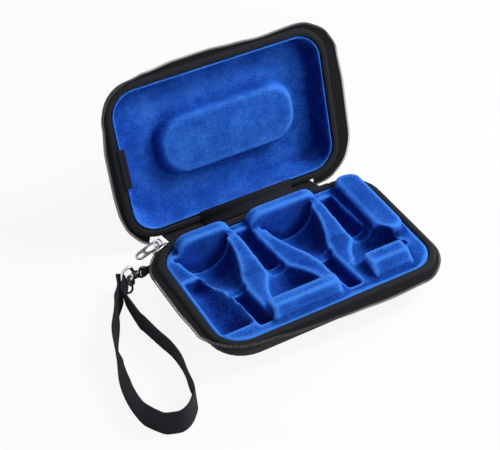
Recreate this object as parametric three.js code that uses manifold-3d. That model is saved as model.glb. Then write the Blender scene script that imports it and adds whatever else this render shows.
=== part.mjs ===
// Zipped, hard-shell case for four large brass mouthpieces, standing open.
// Millimetres, +Z up. The origin is the middle of the flat underside of the base,
// +X runs along the hinge to the right and +Y points to the hinge.
import * as THREE from 'three';
import { mergeVertices } from 'three/addons/utils/BufferGeometryUtils.js';
import Module from 'manifold-3d';

const wasm = await Module();
wasm.setup();

// Driving sizes of the case
const fieldLength = 187;
const fieldDepth = 113;
const fieldCorner = 22;
const lidFieldDepth = 119.6;
const flangeHeight = 27;
const lidHeight = 25;
const closedGap = 6;
const openAngle = THREE.MathUtils.degToRad(108.8);
const touchGap = 0.3;
const overrun = 2;
const cornerSegments = 4;

// Moulded shells
const shellWall = 2.6;
const shellInset = 0.6;
const shellSide = 19;
const lidSide = 14;
const shellRimDrop = 4.5;
const sideSteps = 7;
const edgeSegments = 4;

// Rolled binding on both rims
const bindingWidth = 6;
const bindingProud = 0.9;
const bindingDepth = 4;

// Hinge: a cloth spine across the back
const hingeY = fieldDepth / 2 + bindingWidth + 8.1;
const hingeZ = flangeHeight - 11.9;
const spineLeft = -72;
const spineRight = 48;
const backCutLeft = spineLeft - 0.6;
const backCutRight = 66;
const spineThickness = 1;
const spineLidReach = 34;
const stripLeft = -37;
const stripRight = 47;
const stripThickness = 0.8;

// Lining of the lid, with its raised pad
const liningWall = 2;
const lidInnerDepth = 20;
const liningSide = 9;
const padLength = 128;
const padWidth = 50;
const padHeight = 11;
const padOffset = 5.8;
const padCentre = 58.5;
const padTopLength = 116;
const padTopWidth = 46;
const padCorner = 21;
const padSideShares = [[0, 0], [0.76, 0.5], [0.9, 0.68], [1, 1]];

// Tray
const trayFieldDepth = 6;
const recessPitch = 38.2;
const recessMiddle = -0.75;
const leanShare = 0.078;
const axisLift = 1;
const cupRadius = 21;
const slotRadius = 24;
const slotWidth = 5.5;
const backWall = 45.5;
const saddleY = -3;
const saddleRadius = 8;
const channelRadius = 6.2;
const channelDepth = 14;
const mountainHeight = 12;

// Zip
const tapeThickness = 0.9;
const tapeRootDrop = 2.6;
const toothWidth = 2.4;
const toothThickness = 2.2;

// Webbing
const webThickness = 1.2;
const strapWidth = 20;

const halfLength = fieldLength / 2;
const halfDepth = fieldDepth / 2;
const lidHalfDepth = lidFieldDepth / 2;
const lidBack = hingeY - 7.3;
const lidMiddle = lidBack - lidHalfDepth;
const lidRim = flangeHeight + closedGap;
const shellReach = bindingWidth - shellInset;

const group = new THREE.Group();
const lid = new THREE.Group();
lid.position.set(0, hingeY, hingeZ);
lid.rotation.x = -openAngle;
group.add(lid);

function finish(color, roughness, metalness) {
  return new THREE.MeshStandardMaterial({ color, roughness, metalness });
}

const shellFabric = () => finish(0x17181c, 0.85, 0);
const rimBinding = () => finish(0x2d2d32, 0.7, 0);
const blueVelvet = () => finish(0x2864cd, 0.95, 0);
const zipCloth = () => finish(0x141518, 0.9, 0);
const zipNylon = () => finish(0x22232a, 0.45, 0);
const darkWebbing = () => finish(0x24262f, 0.9, 0);
const pewter = () => finish(0x968c82, 0.35, 1);
const blackNickel = () => finish(0x2b2c30, 0.3, 1);

function add(parent, name, geometry, material) {
  const mesh = new THREE.Mesh(geometry, material);
  mesh.name = name;
  parent.add(mesh);
  return mesh;
}

// Pieces of the lid are drawn in the closed case and hung on the hinge
function addToLid(name, geometry, material) {
  return add(lid, name, geometry.translate(0, -hingeY, -hingeZ), material);
}

// A closed mesh becomes a solid, and comes back as a mesh
function toSolid(geometry) {
  const plain = geometry.clone();
  plain.deleteAttribute('normal');
  plain.deleteAttribute('uv');
  const merged = mergeVertices(plain);
  const vertProperties = new Float32Array(merged.attributes.position.array);
  const triVerts = new Uint32Array(merged.index.array);
  return new wasm.Manifold(new wasm.Mesh({ numProp: 3, vertProperties, triVerts }));
}

function toGeometry(solid) {
  const mesh = solid.getMesh();
  const geometry = new THREE.BufferGeometry();
  geometry.setAttribute('position', new THREE.BufferAttribute(new Float32Array(mesh.vertProperties), mesh.numProp));
  geometry.setIndex(new THREE.BufferAttribute(new Uint32Array(mesh.triVerts), 1));
  geometry.computeVertexNormals();
  return geometry;
}

function join(first, ...others) {
  return others.reduce((solid, other) => solid.add(toSolid(other)), first);
}

function cut(first, ...others) {
  return others.reduce((solid, other) => solid.subtract(toSolid(other)), first);
}

function box(x0, x1, y0, y1, z0, z1) {
  const geometry = new THREE.BoxGeometry(x1 - x0, y1 - y0, z1 - z0);
  return geometry.translate((x0 + x1) / 2, (y0 + y1) / 2, (z0 + z1) / 2);
}

function roundedRectangle(halfX, halfY, radius) {
  const shape = new THREE.Shape();
  shape.moveTo(halfX, -halfY + radius);
  shape.absarc(halfX - radius, halfY - radius, radius, 0, Math.PI / 2);
  shape.absarc(-halfX + radius, halfY - radius, radius, Math.PI / 2, Math.PI);
  shape.absarc(-halfX + radius, -halfY + radius, radius, Math.PI, Math.PI * 1.5);
  shape.absarc(halfX - radius, -halfY + radius, radius, Math.PI * 1.5, Math.PI * 2);
  return shape;
}

function polygon(points) {
  return new THREE.Shape(points.map(([x, y]) => new THREE.Vector2(x, y)));
}

// A plate from z = 0 to its height, with both edges rounded by edge
function plate(shape, height, edge, segments = cornerSegments) {
  const geometry = new THREE.ExtrudeGeometry(shape, {
    depth: height - 2 * edge,
    curveSegments: segments,
    bevelEnabled: edge > 0,
    bevelThickness: edge,
    bevelSize: edge,
    bevelOffset: -edge,
    bevelSegments: edgeSegments,
  });
  return geometry.translate(0, 0, edge);
}

// Turns an extrusion so that its shape's x and y become y and z, and its depth becomes x
function alongX(geometry, start) {
  const turn = new THREE.Matrix4().makeBasis(
    new THREE.Vector3(0, 1, 0), new THREE.Vector3(0, 0, 1), new THREE.Vector3(1, 0, 0));
  return geometry.applyMatrix4(turn).translate(start, 0, 0);
}

// Turns an extrusion so that its shape's y becomes z and its depth runs from back to front
function alongY(geometry, back) {
  return geometry.rotateX(Math.PI / 2).translate(0, back, 0);
}

// A closed skin through rings of points, with flat ends unless the rings close on themselves
function loft(rings, closed = false) {
  const count = rings[0].length;
  const positions = rings.flat().flatMap((point) => [point.x, point.y, point.z]);
  const index = [];
  const spans = closed ? rings.length : rings.length - 1;
  for (let i = 0; i < spans; i += 1) {
    const next = (i + 1) % rings.length;
    for (let k = 0; k < count; k += 1) {
      const side = (k + 1) % count;
      const corners = [i * count + k, i * count + side, next * count + side, next * count + k];
      index.push(corners[0], corners[1], corners[2], corners[0], corners[2], corners[3]);
    }
  }
  if (!closed) {
    const last = (rings.length - 1) * count;
    for (let k = 1; k < count - 1; k += 1) {
      index.push(0, k + 1, k);
      index.push(last, last + k, last + k + 1);
    }
  }
  const geometry = new THREE.BufferGeometry();
  geometry.setAttribute('position', new THREE.Float32BufferAttribute(positions, 3));
  geometry.setIndex(signedVolume(positions, index) < 0 ? index.reverse() : index);
  geometry.computeVertexNormals();
  return geometry;
}

function signedVolume(positions, index) {
  const corner = (k) => new THREE.Vector3().fromArray(positions, index[k] * 3);
  let total = 0;
  for (let k = 0; k < index.length; k += 3) {
    total += corner(k).dot(corner(k + 1).cross(corner(k + 2)));
  }
  return total;
}

// A band of webbing or tape: stations give its two edges
function ribbon(stations, thickness, closed = false) {
  const count = stations.length;
  const middles = stations.map((station) => station.left.clone().lerp(station.right, 0.5));
  const rings = stations.map((station, i) => {
    const before = middles[closed ? (i + count - 1) % count : Math.max(i - 1, 0)];
    const after = middles[closed ? (i + 1) % count : Math.min(i + 1, count - 1)];
    const travel = after.clone().sub(before).normalize();
    const across = station.right.clone().sub(station.left).normalize();
    const lift = travel.cross(across).normalize().multiplyScalar(thickness / 2);
    return [
      station.left.clone().sub(lift), station.right.clone().sub(lift),
      station.right.clone().add(lift), station.left.clone().add(lift),
    ];
  });
  return loft(rings, closed);
}

// A strip with a bent section in y and z, running along x
function bentStrip(points, thickness, left, right) {
  const line = points.map(([y, z]) => new THREE.Vector2(y, z));
  const offset = (i, side) => {
    const before = line[Math.max(i - 1, 0)];
    const after = line[Math.min(i + 1, line.length - 1)];
    const travel = after.clone().sub(before).normalize();
    return line[i].clone().add(new THREE.Vector2(-travel.y, travel.x).multiplyScalar(side * thickness / 2));
  };
  const near = line.map((point, i) => offset(i, -1));
  const far = line.map((point, i) => offset(i, 1)).reverse();
  const strip = new THREE.ExtrudeGeometry(new THREE.Shape([...near, ...far]), { depth: right - left, bevelEnabled: false });
  return alongX(strip, left);
}

// Round wire or rod along a path
function rod(points, radius, steps, sides = 8) {
  const path = new THREE.CatmullRomCurve3(points);
  const circle = new THREE.Shape();
  circle.absarc(0, 0, radius, 0, Math.PI * 2);
  return new THREE.ExtrudeGeometry(circle, {
    steps, curveSegments: sides / 2, bevelEnabled: false, extrudePath: path,
  });
}

// A half of the case: half sizes of its field, and the turn that brings its opening in place
const base = { halfX: halfLength, halfY: halfDepth };
const cover = { halfX: halfLength, halfY: lidHalfDepth };

function toBase(geometry) {
  return geometry.translate(0, 0, flangeHeight);
}

function toCover(geometry) {
  return geometry.rotateX(Math.PI).translate(0, lidMiddle, lidRim);
}

function grown(half, reach) {
  return roundedRectangle(half.halfX + reach, half.halfY + reach, fieldCorner + reach);
}

// Halves are drawn with the opening up at z = 0 and hang below it. A moulded tub's side
// curves in by its side measure over the whole depth
function tub(half, reach, depth, side) {
  const rings = [];
  for (let i = 0; i <= sideSteps; i += 1) {
    const angle = (i / sideSteps) * (Math.PI / 2);
    const inset = reach - side * (1 - Math.cos(angle));
    const outline = roundedRectangle(half.halfX + inset, half.halfY + inset, fieldCorner + reach);
    const points = outline.getPoints(cornerSegments).slice(0, -1);
    rings.push(points.map((point) => new THREE.Vector3(point.x, point.y, -depth * Math.sin(angle))));
  }
  return loft(rings);
}

function shell(half, height, side) {
  const outer = tub(half, shellReach, height, side);
  const inside = tub(half, shellReach - shellWall, height - shellWall, side - shellWall);
  const reach = half.halfX + half.halfY;
  const open = box(-reach, reach, -reach, reach, -shellRimDrop, overrun);
  return toGeometry(cut(toSolid(outer), inside, open));
}

// Stations round a half, from the middle of its back over the left, front and right and round again
function rimLoop(half, arcSteps, longSteps, shortSteps) {
  const cornerX = half.halfX - fieldCorner;
  const cornerY = half.halfY - fieldCorner;
  const stations = [];
  const line = (fromX, fromY, toX, toY, steps) => {
    const normal = new THREE.Vector2(toY - fromY, fromX - toX).normalize();
    for (let i = 0; i < steps; i += 1) {
      const share = i / steps;
      const place = new THREE.Vector2(fromX + (toX - fromX) * share, fromY + (toY - fromY) * share);
      stations.push({ place, normal });
    }
  };
  const arc = (x, y, startAngle) => {
    for (let i = 0; i < arcSteps; i += 1) {
      const angle = startAngle + (i / arcSteps) * (Math.PI / 2);
      const normal = new THREE.Vector2(Math.cos(angle), Math.sin(angle));
      stations.push({ place: new THREE.Vector2(x, y).addScaledVector(normal, fieldCorner), normal });
    }
  };
  line(0, half.halfY, -cornerX, half.halfY, longSteps);
  arc(-cornerX, cornerY, Math.PI / 2);
  line(-half.halfX, cornerY, -half.halfX, -cornerY, shortSteps);
  arc(-cornerX, -cornerY, Math.PI);
  line(-cornerX, -half.halfY, cornerX, -half.halfY, longSteps * 2);
  arc(cornerX, -cornerY, Math.PI * 1.5);
  line(half.halfX, -cornerY, half.halfX, cornerY, shortSteps);
  arc(cornerX, cornerY, 0);
  line(cornerX, half.halfY, 0, half.halfY, longSteps);
  return stations;
}

function rimPoint(station, outward, height) {
  const place = station.place.clone().addScaledVector(station.normal, outward);
  return new THREE.Vector3(place.x, place.y, height);
}

// Section of the binding: shares of its width outwards, and heights in shares of proud or depth
const bindingShares = [
  [0, 0.3, 0], [0.2, 0.85, 0], [0.5, 1, 0], [0.8, 0.8, 0],
  [1, 0, 0.3], [1, 0, 0.75], [0.88, 0, 1], [0, 0, 1],
];

function binding(half) {
  const rings = rimLoop(half, 8, 3, 3).map((station) => bindingShares.map(([share, up, down]) => rimPoint(
    station,
    share === 0 ? touchGap : share * bindingWidth,
    up * bindingProud - down * bindingDepth,
  )));
  return loft(rings, true);
}

// Share of the way round the zip: 0 at the left end behind the hinge corner, 1 at the right end
function zipStations(half, left, right, side) {
  const loop = rimLoop(half, 8, 8, 6);
  const whole = loop.filter(({ place }) => !(place.y > half.halfY - overrun && place.x > left && place.x < right));
  const start = whole.findIndex((station, i) => {
    const previous = whole[(i + whole.length - 1) % whole.length];
    return station.place.distanceTo(previous.place) > fieldCorner;
  });
  const turn = new THREE.Vector2(1, side);
  return [...whole.slice(start), ...whole.slice(0, start)].map(({ place, normal }) => ({
    place: place.clone().multiply(turn), normal: normal.clone().multiply(turn),
  }));
}

// Values set along the zip and blended smoothly between them
function blend(keys, share) {
  const next = Math.max(keys.findIndex((key) => key[0] >= share), 1);
  const [from, to] = [keys[next - 1], keys[next]];
  const t = THREE.MathUtils.smoothstep(share, from[0], to[0]);
  return from.slice(1).map((value, i) => value + (to[i + 1] - value) * t);
}

// Tape edge along the zip: share, reach outside the binding, height below the rim plane
const baseZipKeys = [
  [0, 4, 6], [0.08, 4, 6], [0.13, 4.8, 3], [0.18, 5.2, 1.4], [0.22, 2.5, 2], [0.29, 1.4, 3], [0.36, 1.5, 3],
  [0.42, 2.5, 3], [0.5, 4.5, 4.3], [0.57, 4.5, 5], [0.63, 3, 5], [0.7, 1.2, 5], [0.78, 1, 5.5], [0.9, 1, 6.5], [1, 1, 7.5],
];
const lidZipKeys = [
  [0, 3.4, 5], [0.06, 2.5, 4.5], [0.12, 1.4, 4], [0.17, 3.8, 3], [0.22, 1.5, 4], [0.29, 0.9, 5], [0.36, 1, 5],
  [0.42, 2.8, 4], [0.48, 4.3, 3.5], [0.56, 1.6, 4], [0.6, 0.9, 4.5], [0.66, 1.3, 4.5], [0.71, 2.7, 4],
  [0.76, 5, 3.5], [0.81, 7.8, 3], [0.86, 6.3, 3.5], [0.93, 6, 4], [1, 5, 4.5],
];

function zipEdges(half, keys, left, right, side = 1) {
  const stations = zipStations(half, left, right, side);
  return stations.map((station, i) => {
    const [reach, drop] = blend(keys, i / (stations.length - 1));
    const root = rimPoint(station, bindingWidth + 2 * touchGap, -tapeRootDrop);
    const edge = rimPoint(station, bindingWidth + touchGap + reach, -drop);
    const away = edge.clone().sub(root).normalize();
    return { root, edge, away };
  });
}

function zipTape(edges) {
  return ribbon(edges.map(({ root, edge }) => ({ left: root, right: edge })), tapeThickness);
}

function zipTeeth(edges) {
  const stations = edges.map(({ edge, away }) => ({
    left: edge.clone().addScaledVector(away, touchGap),
    right: edge.clone().addScaledVector(away, touchGap + toothWidth),
  }));
  return ribbon(stations, toothThickness);
}

// The recesses lean to the left towards the back
const lean = new THREE.Matrix4().makeShear(0, 0, -leanShare, 0, 0, 0);

// Recesses of the tray: hollows turned about the mouthpieces' axes, which lie in the flange plane
function turned(profile, x, direction) {
  const points = profile.map(([radius, y]) => new THREE.Vector2(radius, y));
  const hollow = new THREE.LatheGeometry(points, 32);
  return (direction > 0 ? hollow : hollow.rotateZ(Math.PI)).applyMatrix4(lean).translate(x, 0, flangeHeight + axisLift);
}

function cup(x, wall, lipY, direction) {
  const waist = saddleY * direction;
  const end = wall * direction;
  const lip = lipY * direction;
  const run = lip - waist;
  const profile = [
    [0, waist - overrun], [saddleRadius, waist - overrun], [saddleRadius, waist],
    [saddleRadius + 2.5, waist + run * 0.15], [cupRadius * 0.69, waist + run * 0.35],
    [cupRadius * 0.86, waist + run * 0.58], [cupRadius * 0.975, waist + run * 0.8],
    [cupRadius, lip], [slotRadius, lip], [slotRadius, end], [0, end],
  ];
  return turned(profile, x, direction);
}

// A round-bottomed channel from y0 to y1, open upwards
function channel(x, y0, y1, radius, depth, round = 0) {
  const rise = mountainHeight + overrun;
  const shape = new THREE.Shape();
  shape.moveTo(-radius, rise);
  shape.lineTo(-radius, radius - depth);
  shape.absarc(0, radius - depth, radius, Math.PI, Math.PI * 2);
  shape.lineTo(radius, rise);
  const length = y1 - y0;
  const geometry = new THREE.ExtrudeGeometry(shape, {
    depth: length - 2 * round,
    curveSegments: 10,
    bevelEnabled: round > 0,
    bevelThickness: round,
    bevelSize: round,
    bevelOffset: -round,
    bevelSegments: 3,
  });
  return alongY(geometry, y1 - round).applyMatrix4(lean).translate(x, 0, flangeHeight);
}

// A block standing on the flange, with rounded corners and top
function mound(x0, x1, y0, y1, height, corner, edge) {
  const halfX = (x1 - x0) / 2;
  const halfY = (y1 - y0) / 2;
  const geometry = plate(roundedRectangle(halfX, halfY, corner), height + 2 * edge, edge);
  return geometry.translate((x0 + x1) / 2, (y0 + y1) / 2, flangeHeight - 2 * edge);
}

// An arch-topped block, flat at front and back
function arch(x0, x1, y0, y1, height, corner) {
  const shape = new THREE.Shape();
  shape.moveTo(x0, -overrun);
  shape.lineTo(x1, -overrun);
  shape.absarc(x1 - corner, height - corner, corner, 0, Math.PI / 2);
  shape.absarc(x0 + corner, height - corner, corner, Math.PI / 2, Math.PI);
  const edge = 2;
  const geometry = new THREE.ExtrudeGeometry(shape, {
    depth: y1 - y0 - 2 * edge,
    curveSegments: 4,
    bevelEnabled: true,
    bevelThickness: edge,
    bevelSize: edge,
    bevelOffset: -edge,
    bevelSegments: 2,
  });
  return alongY(geometry, y1 - edge).translate(0, 0, flangeHeight);
}

// A block with a side outline, running along x
function sideBlock(x0, x1, outline, edge) {
  const geometry = new THREE.ExtrudeGeometry(polygon(outline), {
    depth: x1 - x0 - 2 * edge,
    bevelEnabled: true,
    bevelThickness: edge,
    bevelSize: edge,
    bevelOffset: -edge,
    bevelSegments: 2,
  });
  return toBase(alongX(geometry, x0 + edge));
}

// A front block whose front face slopes down to the flange
function frontMound(x0, x1, back, front, height, foot) {
  return sideBlock(x0, x1, [
    [foot, -overrun], [back, -overrun], [back, height - 2], [back - 2, height],
    [front, height], [(front + foot) / 2 - 1, height * 0.4],
  ], 2.5);
}

// A low ridge between two recesses, falling towards the front
function ridge(x0, x1) {
  return sideBlock(x0, x1, [[2, -4], [46, -4], [46, 6.4], [38, 6.4], [2, 0]], 1.5);
}

// The finger trough on the left, with a slanted wall at its back right corner
function trough() {
  const rise = mountainHeight + overrun;
  const section = new THREE.Shape();
  section.moveTo(-90, rise);
  section.lineTo(-90, -3);
  section.splineThru([[-88, -9], [-84, -12], [-80, -12.5], [-72, -9], [-66, -3.4], [-62, 0]]
    .map(([x, z]) => new THREE.Vector2(x, z)));
  section.lineTo(-58, rise);
  const hollow = new THREE.ExtrudeGeometry(section, { depth: 60, curveSegments: 2, bevelEnabled: false });
  const plan = plate(polygon([[-95, -60], [-50, -60], [-50, 2], [-62, 2], [-76, 14], [-76, 30], [-95, 30]]), 60, 0);
  const whole = toSolid(alongY(hollow, 17)).intersect(toSolid(plan.translate(0, 0, -30)));
  return toBase(toGeometry(whole));
}

function tray() {
  const wall = shellWall + touchGap;
  const top = flangeHeight - shellRimDrop - touchGap;
  const body = toBase(tub(base, shellReach - wall, flangeHeight - wall, shellSide - shellWall));
  const reach = fieldLength;
  const bodyTop = box(-reach, reach, -reach, reach, top, flangeHeight + reach);
  const field = plate(grown(base, -touchGap / 2), trayFieldDepth, 0).translate(0, 0, flangeHeight - trayFieldDepth);
  const places = [-1.5, -0.5, 0.5, 1.5].map((steps) => recessMiddle + steps * recessPitch);
  const blocks = [
    arch(-79, -32, backWall, 55.5, 12, 10),
    arch(-16, 46, backWall, 55.5, 12, 10),
    mound(66, 88, -18, 56, 10.5, 8, 3),
    frontMound(-50, 10, -35, -45, 10, -54),
    frontMound(38.5, 74, -29.5, -42, 10, -54),
    ridge(-46, -28),
    ridge(30, 48),
  ];
  const hollows = [
    cup(places[0], backWall, backWall - slotWidth, 1),
    cup(places[2], backWall, backWall - slotWidth, 1),
    cup(places[1], -35, -35 + slotWidth, -1),
    cup(places[3], -29.5, -29.5 + slotWidth, -1),
    trough(),
  ];
  [places[0], places[2]].forEach((x) => {
    hollows.push(channel(x, -48, -8, channelRadius, channelDepth));
    hollows.push(channel(x, -9, saddleY, saddleRadius, saddleRadius));
  });
  [places[1], places[3]].forEach((x) => {
    hollows.push(channel(x, 5, 38, 7.5, channelDepth));
    hollows.push(channel(x, 37, 48, 8, 12.6));
    hollows.push(channel(x, saddleY, 6, saddleRadius, saddleRadius));
  });
  const standing = join(toSolid(blocks[0]), ...blocks.slice(1));
  const within = plate(grown(base, -touchGap / 2), mountainHeight * 2, 0).translate(0, 0, flangeHeight - touchGap);
  const solid = join(cut(toSolid(body), bodyTop), field).add(standing.intersect(toSolid(within)));
  return toGeometry(cut(solid, ...hollows));
}

// The pad narrows a little from its foot on the lining's floor to its top
function pad() {
  const rings = padSideShares.map(([heightShare, insetShare]) => {
    const halfX = (padLength - (padLength - padTopLength) * insetShare) / 2;
    const halfY = (padWidth - (padWidth - padTopWidth) * insetShare) / 2;
    const height = -liningWall / 2 + (padHeight + liningWall / 2) * heightShare;
    const points = roundedRectangle(halfX, halfY, padCorner).getPoints(6).slice(0, -1);
    return points.map((point) => new THREE.Vector3(point.x, point.y, height));
  });
  return loft(rings).translate(padOffset, padCentre - lidHalfDepth, -lidInnerDepth);
}

// The lining is a shallow tub inside the lid's shell, with its flange inside the binding
function lining() {
  const outer = tub(cover, -touchGap, lidInnerDepth + liningWall, liningSide);
  const hollow = tub(cover, -touchGap - liningWall, lidInnerDepth, liningSide - liningWall);
  const lip = plate(grown(cover, -touchGap - liningWall), overrun, 0);
  return toGeometry(join(cut(toSolid(outer), hollow, lip), pad()));
}

function spineBase() {
  const y = halfDepth;
  return bentStrip([
    [y + 1, flangeHeight - 0.6], [y + 5, flangeHeight - 1.2], [y + 8.6, flangeHeight - 3.4],
    [hingeY - 2.6, hingeZ + 4.2], [hingeY - 1, hingeZ + 1],
  ], spineThickness, spineLeft, spineRight);
}

function spineLid() {
  const wall = lidBack + bindingWidth + touchGap + spineThickness;
  return bentStrip([
    [hingeY + 0.6, hingeZ - 0.6], [wall + 0.1, hingeZ + 4], [wall, lidRim], [wall, hingeZ + spineLidReach],
  ], spineThickness, spineLeft, spineRight);
}

function hingeStrip() {
  const face = lidRim - bindingProud - touchGap - stripThickness / 2;
  return bentStrip([
    [lidBack - 3, lidRim - 0.8], [lidBack + 1, face], [lidBack + bindingWidth - 1.4, face],
    [lidBack + bindingWidth - 0.6, face - 2], [lidBack + bindingWidth - 0.4, face - 11],
  ], stripThickness, stripLeft, stripRight);
}

// The slider waits one step from the hinge end of the chain, square to the tape there
const sliderThickness = 5;
const bailHeight = 8.4;

function sliderFrame(edges) {
  const middle = (i) => toBasePoint(edges[i].edge, edges[i].away);
  const travel = middle(2).sub(middle(0)).normalize();
  const face = travel.clone().cross(edges[1].away).normalize();
  if (face.z < 0) {
    face.negate();
  }
  const across = face.clone().cross(travel);
  return new THREE.Matrix4().makeBasis(travel, across, face).setPosition(middle(1));
}

function toBasePoint(edge, away) {
  return edge.clone().addScaledVector(away, touchGap + toothWidth / 2).setZ(edge.z + away.z * toothWidth / 2 + flangeHeight);
}

function slider(frame, chain) {
  const shape = polygon([[-5.7, -5], [3, -5.6], [6.5, -4.6], [6.5, 3.4], [3, 4.2], [-4.4, 3.6], [-5.7, 2.4]]);
  const body = plate(shape, sliderThickness, 0.8, 2).translate(0, 0, -sliderThickness / 2);
  const bail = rod([
    new THREE.Vector3(-3.6, 0, 2), new THREE.Vector3(-3.3, 0, 6.4), new THREE.Vector3(-2, 0, bailHeight),
    new THREE.Vector3(2, 0, bailHeight), new THREE.Vector3(3.3, 0, 6.4), new THREE.Vector3(3.6, 0, 2),
  ], 0.8, 12);
  const geometry = toGeometry(join(toSolid(body), bail)).applyMatrix4(frame);
  return toGeometry(cut(toSolid(geometry), chain));
}

// Pull: a flat loop with a crossbar, its near bar under the bail
const pullThickness = 1.5;
const pullBar = 1.6;
const pullSag = THREE.MathUtils.degToRad(20);
const pullRoll = THREE.MathUtils.degToRad(30);
const pullLift = 5.7;
const pullLength = 22;
const pullHalfWidth = 4.5;

function oval(x0, x1, halfY) {
  const hole = new THREE.Path();
  hole.absellipse((x0 + x1) / 2, 0, (x1 - x0) / 2, halfY, 0, Math.PI * 2);
  return hole;
}

function pull(frame) {
  const shape = new THREE.Shape();
  const near = pullHalfWidth;
  const far = pullLength - pullBar / 2 - pullHalfWidth;
  shape.absellipse(near, 0, near + pullBar / 2, pullHalfWidth, Math.PI / 2, Math.PI * 1.5);
  shape.absarc(far, 0, pullHalfWidth, -Math.PI / 2, Math.PI / 2);
  shape.holes.push(oval(pullBar / 2, 12, 3.6), oval(13.6, pullLength - pullBar * 1.5, 2.8));
  const geometry = new THREE.ExtrudeGeometry(shape, { depth: pullThickness, curveSegments: 12, bevelEnabled: false });
  geometry.translate(0, 0, -pullThickness / 2).rotateX(-pullRoll).rotateZ(-pullSag).translate(0, 0, pullLift);
  return geometry.applyMatrix4(frame);
}

// A small clip that closes the end of a chain
function stop(edges, fromEnd) {
  const last = fromEnd ? edges.length - 1 : 0;
  const inner = fromEnd ? last - 1 : 1;
  const centre = (i) => edges[i].edge.clone().addScaledVector(edges[i].away, touchGap + toothWidth / 2);
  const travel = centre(last).sub(centre(inner)).normalize();
  const start = centre(last).addScaledVector(travel, touchGap);
  const stations = [start, start.clone().addScaledVector(travel, 3.2)].map((middle) => ({
    left: middle.clone().addScaledVector(edges[last].away, -toothWidth * 0.7),
    right: middle.clone().addScaledVector(edges[last].away, toothWidth * 0.7),
  }));
  return ribbon(stations, toothThickness * 1.3);
}

// A bare folded label sewn in at the lid's left edge, standing out from the lining
function labelTag() {
  return box(-halfLength, -halfLength + 0.8, lidBack - 76, lidBack - 43, lidRim - 5.4, lidRim - 0.6);
}

// Strap tab: a doubled webbing loop on the left wall, round the bar of the hook's eye
const eyeX = -(halfLength + bindingWidth + 5.5);
const eyeY = halfDepth - 1.2;
const eyeZ = flangeHeight - 12.5;
const tabWidth = 6;
const tabHalf = 1.3;
const barRadius = 1.2;

function strapTab() {
  const shape = new THREE.Shape();
  shape.moveTo(eyeX + 24, -tabHalf);
  shape.lineTo(eyeX + 24, tabHalf);
  shape.lineTo(eyeX + 3, tabHalf);
  shape.absarc(eyeX, 0, barRadius + touchGap + 1, Math.PI * 0.3, Math.PI * 1.7);
  shape.lineTo(eyeX + 3, -tabHalf);
  const hole = new THREE.Path();
  hole.absarc(eyeX, 0, barRadius + touchGap, 0, Math.PI * 2);
  shape.holes.push(hole);
  const band = new THREE.ExtrudeGeometry(shape, { depth: tabWidth, curveSegments: 8, bevelEnabled: false });
  band.translate(0, eyeY, eyeZ - tabWidth / 2);
  const wall = plate(grown(base, shellReach + touchGap), flangeHeight, 0);
  return toGeometry(cut(toSolid(band), wall));
}

// Hook pieces are drawn in the hook's own plane: x to the case, y up, z to the front
const hookTilt = THREE.MathUtils.degToRad(30);

function inHook(geometry) {
  return geometry.rotateX(Math.PI / 2 - hookTilt);
}

function inHookPlane(geometry) {
  return inHook(geometry).translate(eyeX, eyeY, eyeZ);
}

const at = (s, t, n = 0) => new THREE.Vector3(-s, t, n);

// Swivel: the eye's headed stem turns in the barrel of the hook
const stemRadius = 1.2;
const headRadius = 2;
const stemEnd = 8.2;
const headLength = 1.4;
const barrelStart = 5.2;
const barrelEnd = 9.8;
const barrelRadius = 3.2;

// A turned piece along the swivel's line, from radii and distances to the left of the eye
function onSwivel(profile) {
  const points = profile.map(([radius, distance]) => new THREE.Vector2(radius, distance));
  return new THREE.LatheGeometry(points, 20).rotateZ(Math.PI / 2);
}

function hookEye() {
  const bar = rod([new THREE.Vector3(0, 0, -4.9), new THREE.Vector3(0, 0, 0), new THREE.Vector3(0, 0, 4.9)], barRadius, 4, 12);
  const bow = rod([
    new THREE.Vector3(0, 0, -4.4), new THREE.Vector3(-2.6, 0, -5), new THREE.Vector3(-3.8, 0, -3),
    new THREE.Vector3(-3.9, 0, 0), new THREE.Vector3(-3.8, 0, 3), new THREE.Vector3(-2.6, 0, 5),
    new THREE.Vector3(0, 0, 4.4),
  ], 0.95, 20, 8);
  const head = stemEnd - headLength;
  const stem = onSwivel([[0, 4], [stemRadius, 4], [stemRadius, head], [headRadius, head], [headRadius, stemEnd], [0, stemEnd]]);
  return toGeometry(join(toSolid(bar), bow, stem)).translate(eyeX, eyeY, eyeZ);
}

function hookBody() {
  const claw = rod([
    at(9, -1), at(8.4, 3.6), at(10.4, 7), at(14.2, 6.9), at(17.6, 4), at(19.2, -1), at(18.8, -5.6),
  ], 1.3, 26, 8);
  const neck = plate(polygon([[-9, -3], [-10.1, -7.2], [-12.5, -4], [-11.8, 1.6], [-9, 1.6]]), 3, 0.6, 2).translate(0, 0, -1.5);
  const barrel = onSwivel([
    [0, barrelStart], [barrelRadius, barrelStart], [barrelRadius, barrelEnd - 1], [barrelRadius - 1, barrelEnd], [0, barrelEnd],
  ]);
  const head = stemEnd - headLength - touchGap;
  const bore = onSwivel([
    [0, barrelStart - overrun], [stemRadius + touchGap, barrelStart - overrun], [stemRadius + touchGap, head],
    [headRadius + touchGap, head], [headRadius + touchGap, stemEnd + touchGap], [0, stemEnd + touchGap],
  ]);
  const round = toGeometry(join(toSolid(barrel), inHook(claw), inHook(neck)));
  return toGeometry(cut(toSolid(round), bore)).translate(eyeX, eyeY, eyeZ);
}

function hookGate() {
  const leafShape = new THREE.Shape();
  leafShape.absellipse(-13.3, -2.4, 3.1, 4.6, 0, Math.PI * 2);
  const leaf = plate(leafShape, 1.4, 0.3, 8).translate(0, 0, 1.5 + touchGap);
  const arm = rod([at(13, -5, 2.5), at(13.2, -9, 2), at(15, -11.6, 0.6), at(17.8, -11.4, 0), at(19, -8.6, 0)], 0.9, 16, 8);
  return inHookPlane(toGeometry(join(toSolid(leaf), arm)));
}

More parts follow.
